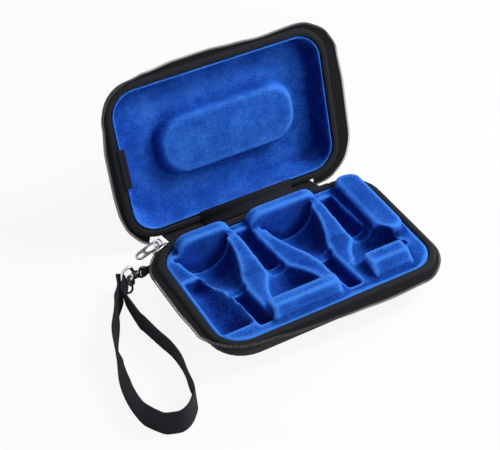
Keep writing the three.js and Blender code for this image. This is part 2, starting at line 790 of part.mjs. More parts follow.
function hookRivet() {
  const head = new THREE.CylinderGeometry(1.3, 1.5, 0.8, 16);
  return inHookPlane(head.rotateX(Math.PI / 2).translate(-12.2, -1, 1.5 + 2 * touchGap + 1.4 + 0.4));
}

// Wrist strap: webbing standing on its edge on the table, its bottom edge along this path
const strapReach = 140;
const strapPathShares = [
  [-0.125, -0.224], [-0.116, -0.432], [-0.099, -0.571], [-0.099, -0.696], [-0.123, -0.805], [-0.142, -0.913],
  [-0.179, -0.966], [-0.214, -0.999], [-0.255, -1.02], [-0.289, -1.023], [-0.355, -0.999], [-0.384, -0.966],
  [-0.41, -0.926], [-0.431, -0.877], [-0.441, -0.766], [-0.431, -0.649], [-0.409, -0.527], [-0.362, -0.365],
  [-0.284, -0.234], [-0.226, -0.147],
];

function wristStrap() {
  const strapX = eyeX - 1.5;
  const bend = new THREE.CatmullRomCurve3(strapPathShares.map(([x, y]) => new THREE.Vector3(strapX + x * strapReach, eyeY + y * strapReach, 0)));
  const middle = new THREE.Vector2(-142, -20);
  const run = bend.getSpacedPoints(44).map((point, i) => {
    const share = i / 44;
    const lean = 0.12 + 0.34 * THREE.MathUtils.smoothstep(share, 0.5, 0.85);
    const inward = new THREE.Vector2(middle.x - point.x, middle.y - point.y).normalize().multiplyScalar(strapWidth * Math.sin(lean));
    const left = new THREE.Vector3(point.x, point.y, webThickness);
    const right = new THREE.Vector3(point.x + inward.x, point.y + inward.y, webThickness + strapWidth * Math.cos(lean));
    return { left, right };
  });
  const slope = Math.tan(hookTilt);
  const turnAt = (dx, dy, low, high) => {
    const corner = (z) => new THREE.Vector3(strapX - 17.6 + dx, eyeY + dy + z * slope, eyeZ + z);
    return { left: corner(low), right: corner(high) };
  };
  const back = [
    turnAt(-9.8, -6.4, -11.5, 1.5), turnAt(-7, -3.4, -10, 2), turnAt(-4.6, 0, -6.1, 2.7), turnAt(-2.6, 2.6, -5.1, 3.5),
    turnAt(0, 3.6, -5.5, 2.5), turnAt(2.6, 2.4, -5.9, 1.9), turnAt(3.4, 0, -5.9, 1.9), turnAt(1.4, -3.2, -6.1, 2.7),
    turnAt(-2.4, -6.2, -10, 2), turnAt(-4.4, -10, -11.5, 1.5),
  ];
  return ribbon([...run, ...back], webThickness, true);
}

add(group, 'base_shell', toBase(shell(base, flangeHeight, shellSide)), shellFabric());
add(group, 'base_tray', tray(), blueVelvet());
const backCut = box(backCutLeft, backCutRight, halfDepth - overrun, hingeY, -overrun, flangeHeight + overrun);
add(group, 'base_binding', toGeometry(cut(toSolid(toBase(binding(base))), backCut)), rimBinding());
const baseZip = zipEdges(base, baseZipKeys, -74.5, 70);
add(group, 'base_zip_tape', toBase(zipTape(baseZip)), zipCloth());
add(group, 'base_zip_teeth', toBase(zipTeeth(baseZip)), zipNylon());
add(group, 'zip_bottom_stop', toBase(stop(baseZip, false)), blackNickel());
add(group, 'zip_end_stop_base', toBase(stop(baseZip, true)), blackNickel());
add(group, 'hinge_spine_base', spineBase(), shellFabric());
const chainPath = baseZip.map(({ root, edge, away }) => ({
  left: root, right: edge.clone().addScaledVector(away, toothWidth + 4 * touchGap),
}));
const sliderHome = sliderFrame(baseZip);
add(group, 'zip_slider', slider(sliderHome, toBase(ribbon(chainPath, toothThickness + 3 * touchGap))), blackNickel());
add(group, 'zip_pull', pull(sliderHome), pewter());
add(group, 'strap_tab', strapTab(), darkWebbing());
add(group, 'hook_eye', hookEye(), blackNickel());
add(group, 'hook_body', hookBody(), blackNickel());
add(group, 'hook_gate', hookGate(), pewter());
add(group, 'hook_rivet', hookRivet(), blackNickel());
add(group, 'wrist_strap', wristStrap(), darkWebbing());

addToLid('lid_shell', toCover(shell(cover, lidHeight, lidSide)), shellFabric());
addToLid('lid_liner', toCover(lining()), blueVelvet());
addToLid('lid_binding', toCover(binding(cover)), rimBinding());
addToLid('hinge_spine_lid', spineLid(), shellFabric());
addToLid('hinge_strip', hingeStrip(), darkWebbing());
const lidZip = zipEdges(cover, lidZipKeys, -79, 70, -1);
addToLid('lid_zip_tape', toCover(zipTape(lidZip)), zipCloth());
addToLid('lid_zip_teeth', toCover(zipTeeth(lidZip)), zipNylon());
addToLid('zip_end_stop_lid', toCover(stop(lidZip, true)), blackNickel());
addToLid('label_tag', labelTag(), darkWebbing());

export default group;
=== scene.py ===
import math

import bpy
import numpy as np
from mathutils import Matrix, Vector


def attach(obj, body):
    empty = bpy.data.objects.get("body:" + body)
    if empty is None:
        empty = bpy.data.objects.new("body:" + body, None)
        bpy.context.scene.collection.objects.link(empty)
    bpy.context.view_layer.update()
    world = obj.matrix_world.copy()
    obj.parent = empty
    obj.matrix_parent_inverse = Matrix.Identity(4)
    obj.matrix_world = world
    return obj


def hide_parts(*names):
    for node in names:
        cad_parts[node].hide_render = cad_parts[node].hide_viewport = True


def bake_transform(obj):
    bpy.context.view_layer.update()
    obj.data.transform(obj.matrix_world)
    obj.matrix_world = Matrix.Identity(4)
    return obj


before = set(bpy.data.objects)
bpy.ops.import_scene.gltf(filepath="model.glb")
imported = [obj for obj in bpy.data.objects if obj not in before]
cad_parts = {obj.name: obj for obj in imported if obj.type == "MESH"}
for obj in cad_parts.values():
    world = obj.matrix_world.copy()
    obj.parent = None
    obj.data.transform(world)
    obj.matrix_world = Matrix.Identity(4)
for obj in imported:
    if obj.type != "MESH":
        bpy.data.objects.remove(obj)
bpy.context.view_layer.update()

# Sizes of the case, in metres
mm = 0.001
field_length = 187 * mm
field_depth = 113 * mm
lid_field_depth = 119.6 * mm
half_length = field_length / 2
half_depth = field_depth / 2
lid_half_depth = lid_field_depth / 2
corner = 22 * mm
rim_height = 27 * mm
closed_gap = 6 * mm
lid_rim = rim_height + closed_gap
lid_middle = 3.5 * mm
binding_width = 6 * mm
touch_gap = 0.3 * mm
weld_gap = 0.01 * mm
hinge_back = 70.6 * mm
hinge_height = 15.1 * mm
hinge_line = Vector((0, hinge_back, hinge_height))
open_angle = math.radians(108.8)

# Zip: the tape's root and thickness, the coil, and where each half's zip ends at the back
tape_root_drop = 2.6 * mm
tape_thickness = 0.7 * mm
tape_tuck = 1.6 * mm
zip_reach = 10 * mm
coil_overlap = 0.9 * mm
coil_radius = 0.85 * mm
coil_wire = 0.38 * mm
coil_lean = 0.25
tooth_width = 2.4 * mm
tooth_pitch = 1.6 * mm
back_strip = 2 * mm
base_zip_left = -74.5 * mm
lid_zip_left = -79 * mm
zip_right = 70 * mm

# Velvet: the grain of each moulding, its softened hollows, the limits of its painted crest highlights and
# painted hollow shade, and its front stitches
tray_grain = 1.1 * mm
lining_grain = 1.2 * mm
hollow_depth = 0.1 * mm
least_softening = 0.06
# Painted light on the velvet: the limits of the painted crest highlight, and the limits and gain of the
# painted shade in broad hollows
crest_highlight_limits = (-0.1, 0.6)
swell_shading_limits = (-0.3, 0.15)
swell_shading_gain = 0.2
stitch_size = (1.0 * mm, 0.45 * mm, 0.4 * mm)
stitch_pitch = 2.7 * mm
stitch_left = 18 * mm
stitch_right = 78 * mm
stitch_inset = 4.6 * mm

# Woven tag in the lid's left rim
binding_proud = 0.9 * mm
tag_root = -94.6 * mm
tag_width = 5.6 * mm
tag_thickness = 0.9 * mm
tag_ahead = 12.7 * mm
tag_behind = 20.3 * mm

# Spine
spine_left = -72 * mm
spine_right = 67.5 * mm
spine_thickness = 0.9 * mm
spine_reach = 20 * mm

# Hook and wrist strap
eye = np.array((-105, 55.3, 14.5)) * mm
hook_length = 19.1 * mm
strap_offset = 17.6 * mm
barrel_reach = 10.2 * mm
hook_slope = math.tan(math.radians(30))
metal_bevel = 0.3 * mm
strap_turn = eye - np.array((hook_length, 0, 0))
strap_width = 20 * mm
strap_thickness = 1.3 * mm
strap_reach = 140 * mm
strap_start = strap_turn[:2] + np.array((strap_offset, 0))
strap_middle = np.array((-142, -20)) * mm

# Grain of each finish, in marks to the metre
brush_scale = 45
nap_scale = 750
wear_scale = 420
metal_grain_scale = 1500
coil_grain_scale = 900

# Depth of each finish's relief
velvet_relief = 0.5 * mm
weave_relief = 0.2 * mm
metal_relief = 0.05 * mm
coil_relief = 0.04 * mm

# Steps round a rim: in each corner, on each half of a long side and on each short side
zip_steps = (32, 32, 24)
map_steps = (24, 24, 24)


# Working with pieces

def select_only(piece):
    bpy.ops.object.select_all(action="DESELECT")
    piece.select_set(True)
    bpy.context.view_layer.objects.active = piece


def in_edit_mode(piece):
    select_only(piece)
    bpy.ops.object.mode_set(mode="EDIT")
    bpy.ops.mesh.select_all(action="SELECT")


def leave_edit_mode():
    bpy.ops.object.mode_set(mode="OBJECT")


def apply_modifier(piece, kind, **settings):
    select_only(piece)
    modifier = piece.modifiers.new(kind.title(), kind)
    for name, value in settings.items():
        setattr(modifier, name, value)
    bpy.ops.object.modifier_apply(modifier=modifier.name)


def smooth(piece, angle=35):
    select_only(piece)
    bpy.ops.object.shade_smooth_by_angle(angle=math.radians(angle))


def put_on(piece, body, finish, slot, *nodes):
    piece.data.materials.clear()
    piece.data.materials.append(finish)
    if body:
        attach(piece, body)
    if nodes:
        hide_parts(*nodes)
    return piece


def copy_of(node, name):
    piece = bpy.data.objects.new(name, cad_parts[node].data.copy())
    bpy.context.scene.collection.objects.link(piece)
    in_edit_mode(piece)
    bpy.ops.mesh.remove_doubles(threshold=weld_gap)
    leave_edit_mode()
    return piece


# Materials

def new_finish(name, colour, roughness, metallic=0.0, **sockets):
    finish = bpy.data.materials.new(name)
    finish.use_nodes = True
    shader = finish.node_tree.nodes["Principled BSDF"]
    shader.inputs["Base Color"].default_value = (*colour, 1)
    shader.inputs["Roughness"].default_value = roughness
    shader.inputs["Metallic"].default_value = metallic
    for socket, value in sockets.items():
        shader.inputs[socket.replace("_", " ")].default_value = value
    return finish


def add_node(finish, kind, links=(), **settings):
    node = finish.node_tree.nodes.new(kind)
    for name, value in settings.items():
        if name in node.inputs:
            node.inputs[name].default_value = value
        else:
            setattr(node, name, value)
    for socket, source in dict(links).items():
        finish.node_tree.links.new(source, node.inputs[socket])
    return node


def place_in(finish, surface):
    return add_node(finish, "ShaderNodeTexCoord").outputs["UV" if surface else "Object"]


def noise(finish, where, scale, detail=2.0, roughness=0.5):
    return add_node(
        finish, "ShaderNodeTexNoise", {"Vector": where}, Scale=scale, Detail=detail, Roughness=roughness
    ).outputs["Fac"]


def bands(finish, where, period, direction):
    wave = add_node(finish, "ShaderNodeTexWave", {"Vector": where}, Scale=math.pi / 10 / period)
    wave.bands_direction = direction
    return wave.outputs["Fac"]


def combine(finish, operation, first, second):
    node = add_node(finish, "ShaderNodeMath", operation=operation)
    for socket, value in zip(node.inputs, (first, second)):
        if isinstance(value, (int, float)):
            socket.default_value = value
        else:
            finish.node_tree.links.new(value, socket)
    return node.outputs[0]


def join_to_shader(finish, output, socket):
    finish.node_tree.links.new(output, finish.node_tree.nodes["Principled BSDF"].inputs[socket])


def colour_between(finish, factor, dark, light, start, end):
    ramp = add_node(finish, "ShaderNodeValToRGB", {"Fac": factor})
    ramp.color_ramp.elements[0].position = start
    ramp.color_ramp.elements[0].color = (*dark, 1)
    ramp.color_ramp.elements[1].position = end
    ramp.color_ramp.elements[1].color = (*light, 1)
    join_to_shader(finish, ramp.outputs["Color"], "Base Color")
    return ramp


def raise_by(finish, height, distance, strength=1.0):
    bump = add_node(finish, "ShaderNodeBump", {"Height": height}, Strength=strength, Distance=distance)
    join_to_shader(finish, bump.outputs["Normal"], "Normal")


def velvet(name, dark, middle, light):
    """Flocked velvet: broad brushed marks and a fine speckle as its own tone, plus the painted light stored
    with the piece (painted highlights on crests, painted shade in hollows and on left-facing walls).
    """
    finish = new_finish(
        name, light, 0.9, Sheen_Weight=0.2, Sheen_Roughness=0.35, Sheen_Tint=(0.25, 0.5, 1.0, 1),
        Specular_IOR_Level=0.05,
    )
    where = place_in(finish, False)
    brushed = combine(finish, "SUBTRACT", noise(finish, where, brush_scale, 4, 0.65), 0.5)
    nap = noise(finish, where, nap_scale, 2, 0.8)
    speckle = combine(finish, "MULTIPLY", combine(finish, "SUBTRACT", nap, 0.5), 1.1)
    # Painted light stored on the piece: painted highlights on crests, painted shade in hollows and on
    # left-facing walls
    painted_light = add_node(finish, "ShaderNodeAttribute", attribute_name="painted_light").outputs["Fac"]
    tone_and_shading = combine(finish, "ADD", combine(finish, "ADD", brushed, speckle), painted_light)
    ramp = colour_between(finish, tone_and_shading, dark, light, 0.0, 1.0)
    ramp.color_ramp.elements.new(0.5).color = (*middle, 1)
    raise_by(finish, nap, velvet_relief, 0.7)
    return finish


def woven(name, dark, light, warp, weft, surface=False, roughness=0.85):
    """Cloth whose threads follow its own map, or a fine unordered weave where it has none."""
    finish = new_finish(name, light, roughness, Sheen_Weight=0.04, Specular_IOR_Level=0.12)
    where = place_in(finish, surface)
    scale = 1.0 if surface else mm
    if surface:
        along, across = bands(finish, where, warp, "X"), bands(finish, where, weft, "Y")
        threads = combine(finish, "MULTIPLY", along, across)
    else:
        threads = noise(finish, where, 1 / (warp * scale), 1)
    fuzz = noise(finish, where, 1.3 / scale, 2)
    weave, loose = combine(finish, "MULTIPLY", threads, 0.6), combine(finish, "MULTIPLY", fuzz, 0.5)
    mixed = combine(finish, "ADD", weave, loose)
    colour_between(finish, mixed, dark, light, 0.15, 0.85)
    raise_by(finish, mixed, weave_relief, 0.6)
    return finish


def metal(name, dark, light, roughness):
    finish = new_finish(name, light, roughness, 1.0)
    where = place_in(finish, False)
    worn = noise(finish, where, wear_scale, 3)
    colour_between(finish, worn, dark, light, 0.35, 0.65)
    raise_by(finish, noise(finish, where, metal_grain_scale, 2), metal_relief, 0.4)
    return finish


# The velvet's dark end is a painted-shade navy and its light end a painted-highlight blue; the middle is its
# own blue
blue_velvet = velvet("blue velvet", (0.002, 0.014, 0.16), (0.016, 0.105, 0.56), (0.06, 0.27, 0.95))
shell_cloth = woven("shell cloth", (0.006, 0.006, 0.0075), (0.026, 0.027, 0.031), 0.9, 0.9, roughness=0.6)
piping = woven("rim piping", (0.006, 0.0063, 0.008), (0.034, 0.036, 0.044), 0.8, 0.8, True, 0.7)
zip_cloth = woven("zip cloth", (0.004, 0.004, 0.005), (0.022, 0.022, 0.026), 0.7, 1.1, True)
webbing = woven("webbing", (0.005, 0.006, 0.009), (0.034, 0.038, 0.052), 1.0, 1.6, True)
plain_webbing = woven("plain webbing", (0.004, 0.005, 0.007), (0.022, 0.025, 0.034), 0.9, 0.9)
# The coil is dark nylon whose colour is lightened to grey as a painted glint on its turns
coil = new_finish("zip coil", (0.1, 0.1, 0.108), 0.4, Specular_IOR_Level=0.3)
raise_by(coil, noise(coil, place_in(coil, False), coil_grain_scale), coil_relief)
pewter = metal("pewter", (0.42, 0.4, 0.37), (0.78, 0.75, 0.7), 0.3)
black_nickel = metal("black nickel", (0.02, 0.02, 0.022), (0.08, 0.08, 0.085), 0.28)


# The rim's run, and the zip beside it

def rim_loop(half_x, half_y, arc_steps, long_steps, short_steps):
    """Places and outward normals round a rounded rectangle, from the middle of its back to the left."""
    cx, cy = half_x - corner, half_y - corner
    places, normals = [], []

    def line(start, end, normal, steps):
        for i in range(steps):
            places.append(np.array(start) + (np.array(end) - np.array(start)) * i / steps)
            normals.append(np.array(normal, float))

    def arc(x, y, start):
        for i in range(arc_steps):
            angle = start + i / arc_steps * math.pi / 2
            normal = np.array((math.cos(angle), math.sin(angle)))
            places.append(np.array((x, y)) + normal * corner)
            normals.append(normal)

    line((0, half_y), (-cx, half_y), (0, 1), long_steps)
    arc(-cx, cy, math.pi / 2)
    line((-half_x, cy), (-half_x, -cy), (-1, 0), short_steps)
    arc(-cx, -cy, math.pi)
    line((-cx, -half_y), (cx, -half_y), (0, -1), long_steps * 2)
    arc(cx, -cy, math.pi * 1.5)
    line((half_x, -cy), (half_x, cy), (1, 0), short_steps)
    arc(cx, cy, 0)
    line((cx, half_y), (0, half_y), (0, 1), long_steps)
    return np.array(places), np.array(normals)


# Along each zip: the share of its run, then the edge's reach past the binding and its drop over zip_reach
base_zip_shares = [
    (0, 0.4, 0.6), (0.08, 0.4, 0.6), (0.13, 0.48, 0.3), (0.18, 0.52, 0.14), (0.22, 0.32, 0.15),
    (0.25, 0.14, 0.06), (0.28, 0, -0.03), (0.31, -0.06, -0.07), (0.35, -0.06, -0.07), (0.38, 0, 0.03),
    (0.42, 0.13, 0.25), (0.47, 0.28, 0.3), (0.51, 0.39, 0.38), (0.57, 0.43, 0.5), (0.63, 0.3, 0.5),
    (0.7, 0.12, 0.5), (0.78, 0.1, 0.55), (0.9, 0.1, 0.65), (1, 0.1, 0.75),
]
lid_zip_shares = [
    (0, 0.38, 0.25), (0.05, 0.15, 0.2), (0.08, 0.1, 0.2), (0.13, 0.28, 0.2), (0.17, 0.24, 0.2),
    (0.21, 0.01, 0), (0.26, -0.02, -0.1), (0.31, -0.08, -0.1), (0.34, -0.04, -0.05), (0.37, 0.1, 0.15),
    (0.42, 0.31, 0.2), (0.47, 0.33, 0.2), (0.52, 0.16, 0.2), (0.56, 0, 0.2), (0.62, 0.12, 0.2),
    (0.67, 0.24, 0.2), (0.72, 0.53, 0.2), (0.76, 0.8, 0.2), (0.8, 0.98, 0.2), (0.85, 0.94, 0.2),
    (0.9, 0.78, 0.2), (0.95, 0.65, 0.3), (1, 0.5, 0.45),
]


def eased(shares, share):
    """The reach and drop shares at one place along the zip, with no corner where two stretches meet."""
    later = next((row for row in shares[1:] if row[0] >= share), shares[-1])
    earlier = shares[shares.index(later) - 1]
    t = min(max((share - earlier[0]) / (later[0] - earlier[0]), 0), 1)
    t = t * t * (3 - 2 * t)
    return [a + (b - a) * t for a, b in zip(earlier[1:], later[1:])]


def zip_edges(half_x, half_y, shares, left, side=1):
    """The tape's sewn root and free edge, from one end of the zip round the front to the other."""
    places, normals = rim_loop(half_x, half_y, *zip_steps)
    behind = [y > half_y - back_strip and left < x < zip_right for x, y in places]
    kept = [i for i, hidden in enumerate(behind) if not hidden]
    start = next(n for n, i in enumerate(kept) if np.linalg.norm(places[i] - places[kept[n - 1]]) > corner)
    kept = kept[start:] + kept[:start]
    roots, edges = [], []
    for n, i in enumerate(kept):
        reach, drop = (zip_reach * value for value in eased(shares, n / (len(kept) - 1)))
        place, normal = places[i] * (1, side), normals[i] * (1, side)
        root = place + normal * (binding_width - tape_tuck)
        edge = place + normal * (binding_width + touch_gap + reach + coil_overlap)
        roots.append((*root, -tape_root_drop))
        edges.append((*edge, -drop))
    return np.array(roots), np.array(edges)


def on_base(points):
    return points + np.array((0, 0, rim_height))


def opened(shut):
    """Places on the shut lid, turned about the hinge line to where the open lid has them."""
    turn = Matrix.Rotation(-open_angle, 4, "X")
    return np.array([hinge_line + turn @ (Vector(place) - hinge_line) for place in shut])


def on_lid(points):
    return opened(points * (1, -1, -1) + np.array((0, lid_middle, lid_rim)))


def run_along(places):
    """The length from the first place to each of the others."""
    return np.concatenate(([0], np.cumsum(np.linalg.norm(np.diff(places, axis=0), axis=1))))


def band(name, lefts, rights, thickness, rows=4, closed=False):
    """A flat band of cloth between two edges, with its own map in millimetres along and across."""
    if closed:
        lefts, rights = np.vstack((lefts, lefts[:1])), np.vstack((rights, rights[:1]))
    steps = len(lefts) - 1
    bpy.ops.object.select_all(action="DESELECT")
    bpy.ops.mesh.primitive_grid_add(x_subdivisions=steps, y_subdivisions=rows, size=1, calc_uvs=True)
    piece = bpy.context.object
    piece.name = name
    run = run_along((lefts + rights) / 2)
    width = np.linalg.norm(rights - lefts, axis=1).mean()
    for vertex in piece.data.vertices:
        i = min(max(round((vertex.co.x + 0.5) * steps), 0), steps)
        share = vertex.co.y + 0.5
        vertex.co = lefts[i] + (rights[i] - lefts[i]) * share
    layer = piece.data.uv_layers[0].data
    for corner_data in layer:
        along = np.interp(corner_data.uv[0], np.linspace(0, 1, steps + 1), run)
        corner_data.uv = (along / mm, corner_data.uv[1] * width / mm)
    if closed:
        in_edit_mode(piece)
        bpy.ops.mesh.remove_doubles(threshold=weld_gap)
        leave_edit_mode()
    apply_modifier(piece, "SOLIDIFY", thickness=thickness, offset=0)
    smooth(piece, 50)
    return piece


def path_curve(name, points):
    data = bpy.data.curves.new(name, "CURVE")
    data.dimensions = "3D"
    data.twist_mode = "Z_UP"
    line = data.splines.new("POLY")
    line.points.add(len(points) - 1)
    for point, place in zip(line.points, points):
        point.co = (*place, 1)
    curve = bpy.data.objects.new(name, data)
    bpy.context.scene.collection.objects.link(curve)
    return curve


def coil_row(name, centres):
    """One turn of the coil, repeated along the edge of the tape."""
    turns = int(run_along(centres)[-1] / tooth_pitch)
    bpy.ops.object.select_all(action="DESELECT")
    bpy.ops.mesh.primitive_torus_add(
        major_segments=12, minor_segments=6, major_radius=coil_radius, minor_radius=coil_wire,
        rotation=(0, math.pi / 2 - coil_lean, 0),
    )
    piece = bpy.context.object
    piece.name = name
    bpy.ops.object.transform_apply(location=True, rotation=True, scale=True)
    apply_modifier(
        piece, "ARRAY", count=turns, use_relative_offset=False, use_constant_offset=True,
        constant_offset_displace=(tooth_pitch, 0, 0),
    )
    curve = path_curve(name + "_path", centres)
    apply_modifier(piece, "CURVE", object=curve, deform_axis="POS_X")
    bpy.data.objects.remove(curve)
    smooth(piece, 80)
    return piece


def build_zip(side_name, edges, place, body, tape_node, teeth_node):
    roots, free = (place(points) for points in edges)
    tape = band(side_name + "_tape", roots, free, tape_thickness)
    put_on(tape, body, zip_cloth, "zip_cloth", tape_node)
    away = free - roots
    away /= np.linalg.norm(away, axis=1)[:, None]
    row = coil_row(side_name + "_coil", free + away * (touch_gap + tooth_width / 2 - coil_overlap))
    put_on(row, body, coil, "zip_nylon", teeth_node)


# Velvet tray and lining: moulded skins with soft edges

def mesh_shape(mesh):
    """The mesh's places and normals, and a call that averages values over each point's neighbours."""
    count = len(mesh.vertices)
    places, normals = np.empty(count * 3), np.empty(count * 3)
    mesh.vertices.foreach_get("co", places)
    mesh.vertices.foreach_get("normal", normals)
    ends = np.empty(len(mesh.edges) * 2, dtype=int)
    mesh.edges.foreach_get("vertices", ends)
    first, second = ends.reshape(-1, 2).T
    number = np.bincount(ends, minlength=count).clip(1)

    def spread(values, rounds=1):
        for _ in range(rounds):
            columns = values.reshape(count, -1)
            total = [
                np.bincount(first, column[second], count) + np.bincount(second, column[first], count)
                for column in columns.T
            ]
            values = (columns + (np.array(total) / number).T) / 2
        return values[:, 0] if values.shape[1] == 1 else values

    return places.reshape(-1, 3), normals.reshape(-1, 3), spread


def soften_hollows(piece, rounds):
    """Fills the hollow corners with wide soft curves, and leaves the crests tight."""
    places, normals, spread = mesh_shape(piece.data)
    hollow = spread(((spread(places, 12) - places) * normals).sum(1), 6)
    group = piece.vertex_groups.new(name="hollow")
    weights = np.clip(hollow / hollow_depth, least_softening, 1)
    for step in range(1, 11):
        members = np.flatnonzero((weights * 10).round() == step)
        group.add(members.tolist(), step / 10, "REPLACE")
    apply_modifier(piece, "SMOOTH", factor=0.5, iterations=rounds, vertex_group="hollow")
    piece.vertex_groups.clear()


def paint_velvet_light(piece, level, crest_highlight_gain, lean):
    """Stores painted light for the velvet: a painted highlight on crests, painted shade in hollows, and walls
    facing right painted lighter and walls facing left darker, as if lit from the right.
    """
    places, normals, spread = mesh_shape(piece.data)
    crest = spread(((places - spread(places, 3)) * normals).sum(1), 1) / mm
    swell = spread(((places - spread(places, 60)) * normals).sum(1), 6) / mm
    # Painted highlight on crests and painted shade in broad hollows
    crest_and_hollow_shading = np.clip(crest * crest_highlight_gain, *crest_highlight_limits) + np.clip(swell * swell_shading_gain, *swell_shading_limits)
    # Painted side shade: lean makes walls facing right lighter and walls facing left darker, as if lit from
    # the right
    painted_light = level + crest_and_hollow_shading + normals[:, 0] * lean
    layer = piece.data.attributes.new("painted_light", "FLOAT", "POINT")
    layer.data.foreach_set("value", painted_light.astype(np.float32))


def moulded(node, name, body, grain, rounds, level, crest_highlight_gain, lean):
    """A velvet skin: the moulding with its sharp edges worn soft and painted light stored on it."""
    piece = copy_of(node, name)
    apply_modifier(piece, "REMESH", mode="VOXEL", voxel_size=grain)
    apply_modifier(piece, "SMOOTH", factor=0.5, iterations=rounds)
    soften_hollows(piece, 40)
    smooth(piece, 180)
    paint_velvet_light(piece, level, crest_highlight_gain, lean)
    return put_on(piece, body, blue_velvet, "blue_velvet", node)


def build_stitches():
    """A run of stitches through the velvet along the right part of the front rim."""
    bpy.ops.object.select_all(action="DESELECT")
    bpy.ops.mesh.primitive_uv_sphere_add(segments=10, ring_count=6, radius=1, scale=stitch_size)
    piece = bpy.context.object
    piece.name = "front_stitches"
    piece.location = (stitch_left, -half_depth + stitch_inset, rim_height + touch_gap / 2)
    bpy.ops.object.transform_apply(location=True, rotation=True, scale=True)
    apply_modifier(
        piece, "ARRAY", count=int((stitch_right - stitch_left) / stitch_pitch), use_relative_offset=False,
        use_constant_offset=True, constant_offset_displace=(stitch_pitch, 0, 0),
    )
    smooth(piece, 80)
    return put_on(piece, "base", blue_velvet, "blue_velvet")


def rim_map(piece, half_x, half_y, back_to_rim):
    """Maps a rim piece in millimetres: along the rim, and outwards across it."""
    places, normals = rim_loop(half_x, half_y, *map_steps)
    closed = np.vstack((places, places[:1]))
    run = run_along(closed)
    layer = piece.data.uv_layers.new(name="rim")
    flat = [back_to_rim(v.co) for v in piece.data.vertices]
    nearest = [int(np.argmin(((places - f[:2]) ** 2).sum(1))) for f in flat]
    for loop in piece.data.loops:
        f, n = flat[loop.vertex_index], nearest[loop.vertex_index]
        across = float((np.array(f[:2]) - places[n]) @ normals[n])
        tangent = np.array((-normals[n][1], normals[n][0]))
        along = run[n] + float((np.array(f[:2]) - places[n]) @ tangent)
        layer.data[loop.index].uv = (along / mm, (across - f[2]) / mm)


def rim_binding(node, name, body, half_x, half_y, back_to_rim):
    piece = copy_of(node, name)
    apply_modifier(piece, "SUBSURF", levels=1, render_levels=1)
    rim_map(piece, half_x, half_y, back_to_rim)
    smooth(piece, 60)
    put_on(piece, body, piping, "binding", node)


def from_base(point):
    return np.array((point[0], point[1], point[2] - rim_height))


def from_lid(point):
    shut = hinge_line + Matrix.Rotation(open_angle, 4, "X") @ (Vector(point) - hinge_line)
    return np.array((shut[0], shut[1] - lid_middle, lid_rim - shut[2]))


# Wrist strap: one loop of webbing that stands on its edge on the table and passes through the hook

# Where its lower edge stands on the table, as shares of strap_reach
strap_path_shares = [
    (-0.159, -0.284), (-0.125, -0.45), (-0.099, -0.571), (-0.099, -0.696), (-0.123, -0.805), (-0.142, -0.913),
    (-0.179, -0.966), (-0.214, -0.999), (-0.255, -1.02), (-0.289, -1.023), (-0.355, -0.999), (-0.384, -0.966),
    (-0.41, -0.926), (-0.431, -0.877), (-0.441, -0.766), (-0.431, -0.649), (-0.402, -0.54), (-0.33, -0.372),
    (-0.262, -0.244), (-0.222, -0.155),
]

# How far it leans inwards, in radians, at each share of that run
strap_lean_shares = [(0, 0.12), (0.5, 0.12), (0.66, 0.34), (0.75, 0.2), (0.8, 0), (0.88, -0.2), (1, -0.22)]

# Its turn through the hook, as shares of strap_width: sideways, back, and both edges' heights, lower first
strap_turn_shares = [
    (-0.33, -0.37, -0.575, 0.075), (-0.22, -0.195, -0.5, 0.1), (-0.16, -0.01, -0.305, 0.135),
    (-0.1, 0.12, -0.255, 0.175), (0.01, 0.17, -0.275, 0.125), (0.13, 0.12, -0.295, 0.095),
    (0.16, 0, -0.295, 0.095), (0.07, -0.16, -0.305, 0.135), (-0.12, -0.32, -0.5, 0.1),
    (-0.21, -0.5, -0.575, 0.075),
]


def smooth_step(a, b, c, d, t):
    """The place at t between b and c, on the smooth curve through all four."""
    square = (2 * a - 5 * b + 4 * c - d) * t * t
    cube = (3 * b - a - 3 * c + d) * t ** 3
    return 0.5 * (2 * b + (c - a) * t + square + cube)


def through(points, count, closed=False):
    """Places spaced evenly along a smooth curve through the points."""
    points = np.array(points, float)
    if closed:
        points = np.vstack((points[-1:], points, points[:2]))
    else:
        points = np.vstack((2 * points[0] - points[1], points, 2 * points[-1] - points[-2]))
    dense = []
    for a, b, c, d in zip(points, points[1:], points[2:], points[3:]):
        for t in np.linspace(0, 1, 24, endpoint=False):
            dense.append(smooth_step(a, b, c, d, t))
    dense.append(points[-2])
    dense = np.array(dense)
    run = run_along(dense)
    wanted = np.linspace(0, run[-1], count, endpoint=not closed)
    return np.stack([np.interp(wanted, run, dense[:, k]) for k in range(dense.shape[1])], axis=1)


def strap_edges():
    """The strap's lower and upper edge, along the table and then through the hook."""
    ground = [strap_start + np.array(shares) * strap_reach for shares in strap_path_shares]
    stations = through(ground, 45)
    low, high = [], []
    for i, point in enumerate(stations):
        lean = np.interp(i / (len(stations) - 1), *zip(*strap_lean_shares))
        to_middle = strap_middle - point
        inward = to_middle / np.linalg.norm(to_middle) * strap_width * math.sin(lean)
        low.append((*point, strap_thickness))
        high.append((*(point + inward), strap_thickness + strap_width * math.cos(lean)))
    for x, y, bottom, top in np.array(strap_turn_shares) * strap_width:
        for rows, z in ((low, bottom), (high, top)):
            rows.append(strap_turn + np.array((x, y + z * hook_slope, z)))
    return low, high


def build_strap():
    low, high = strap_edges()
    both = through(np.hstack((low, high)), 260, closed=True)
    piece = band("strap_webbing", both[:, :3], both[:, 3:], strap_thickness, rows=8, closed=True)
    put_on(piece, "strap", webbing, "webbing", "wrist_strap")


# The spine: one cloth from the base's rim over the hinge line to the lid's back wall

